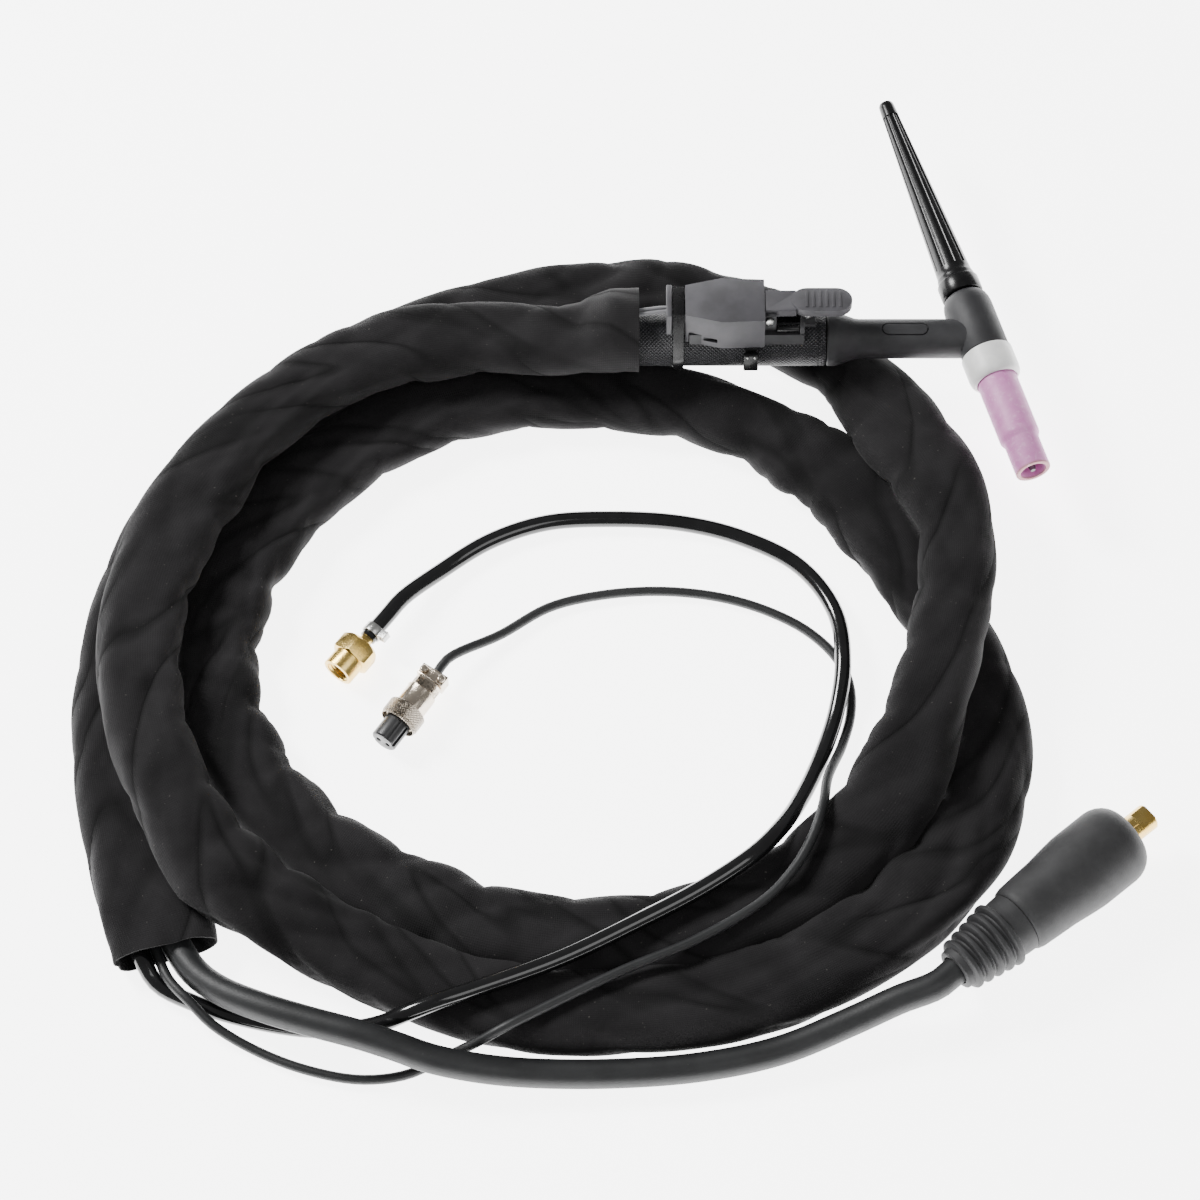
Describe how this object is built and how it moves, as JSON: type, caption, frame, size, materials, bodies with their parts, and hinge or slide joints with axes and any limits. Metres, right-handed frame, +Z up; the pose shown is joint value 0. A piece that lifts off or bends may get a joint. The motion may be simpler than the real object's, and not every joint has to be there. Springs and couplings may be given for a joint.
{
  "type": "tig torch",
  "caption": "Air-cooled TIG torch with a finger switch, long back cap and ceramic nozzle, on its coiled covered cable set with power plug, gas nut and control plug",
  "frame": {"origin": "on the floor, under the middle of the torch and its cable cover", "axes": "+X along the handle towards the head, +Y towards the back cap's side, +Z up; the coil lies flat on the floor"},
  "size_m": [0.4576, 0.4667, 0.0596],
  "materials": {
    "moulding": "matte moulded",
    "knurled_plastic": "knurled, matte",
    "switch_plastic": "matte moulded",
    "cap_plastic": "glossy",
    "ptfe": "smooth, waxy",
    "alumina": "fired, unglazed",
    "tungsten": "dark, ground",
    "brass": "turned",
    "copper": "turned copper",
    "nickel": "nickel plated",
    "steel": "plated",
    "rubber": "matte",
    "cable_rubber": "matte",
    "hose_vinyl": "glossy",
    "lead_vinyl": "satin",
    "canvas": "woven, matte",
    "insert_plastic": "satin"
  },
  "bodies": {
    "torch": {"head_body": "moulding", "head_core": "brass", "neck_tube": "copper", "power_joint": "brass", "handle_tube": "knurled_plastic", "handle_rear_bush": "rubber", "collet_body": "copper", "collet": "copper", "insulator_ring": "ptfe", "switch_base": "switch_plastic", "switch_cover": "switch_plastic", "switch_end_plate": "switch_plastic", "lever_pivot_pin": "steel", "lever_stop_bar": "steel", "micro_switch_body": "cap_plastic", "lever_return_spring": "steel", "rear_strap": "cap_plastic", "front_strap": "cap_plastic", "front_strap_clasp": "cap_plastic", "switch_lead_inner": "lead_vinyl", "switch_lead_outer": "lead_vinyl", "cable_sleeve": "canvas", "power_cable": "cable_rubber", "power_cable_core": "copper", "gas_hose": "hose_vinyl", "control_cable": "cable_rubber", "plug_boot": "rubber", "plug_housing": "rubber", "plug_pin": "brass", "plug_ferrule": "copper", "plug_clamp_screw_rear": "steel", "plug_clamp_screw_front": "steel", "gas_nipple": "brass", "hose_clamp": "steel", "control_insert": "insert_plastic", "control_contact_left": "brass", "control_contact_right": "brass", "control_plug_shell": "nickel", "control_cable_saddle": "nickel", "control_saddle_screw_left": "nickel", "control_saddle_screw_right": "nickel"},
    "back_cap": {"back_cap": "cap_plastic"},
    "cap_seal": {"back_cap_o_ring": "rubber"},
    "nozzle": {"alumina_nozzle": "alumina"},
    "electrode": {"tungsten_electrode": "tungsten"},
    "lever": {"switch_lever": "switch_plastic"},
    "plunger": {"micro_switch_plunger": "lead_vinyl"},
    "gas_nut": {"gas_nut": "brass"},
    "coupling_ring": {"control_coupling_ring": "nickel"}
  },
  "joints": [
    {"name": "cap_advance", "type": "slide", "parent": "torch", "child": "cap_seal", "axis": [-0.2924, 0.9563, 0], "range_m": [0, 0.003]},
    {"name": "cap_turn", "type": "hinge", "parent": "cap_seal", "child": "back_cap", "pos_m": [0.17303, 0.12919, 0.033], "axis": [-0.2924, 0.9563, 0], "range_deg": [0, 1080]},
    {"name": "nozzle_turn", "type": "hinge", "parent": "torch", "child": "nozzle", "pos_m": [0.19496, 0.05747, 0.033], "axis": [-0.2924, 0.9563, 0], "range_deg": [0, 90]},
    {"name": "electrode_slide", "type": "slide", "parent": "torch", "child": "electrode", "axis": [-0.2924, 0.9563, 0], "range_m": [-0.006, 0.004]},
    {"name": "lever_press", "type": "hinge", "parent": "torch", "child": "lever", "pos_m": [0.0886, 0.10466, 0.05256], "axis": [0, 0.9781, -0.2079], "range_deg": [0, 4], "stiffness_Nm_per_rad": 0.15, "springref_deg": -17.19, "deforming": ["lever_return_spring"]},
    {"name": "plunger_press", "type": "slide", "parent": "torch", "child": "plunger", "axis": [0, -0.2079, -0.9781], "range_m": [0, 0.0007]},
    {"name": "gas_nut_turn", "type": "hinge", "parent": "torch", "child": "gas_nut", "pos_m": [-0.0974, -0.052, 0.0094], "axis": [-0.6018, -0.7986, 0], "continuous": true},
    {"name": "coupling_ring_turn", "type": "hinge", "parent": "torch", "child": "coupling_ring", "pos_m": [-0.0772, -0.0849, 0.009], "axis": [-0.5621, -0.8271, 0], "continuous": true}
  ],
  "couplings": [
    {"joint": "cap_turn", "follows": "cap_advance", "rad_per_m": 6283.2},
    {"joint": "plunger_press", "follows": "lever_press", "m_per_rad": 0.009}
  ]
}
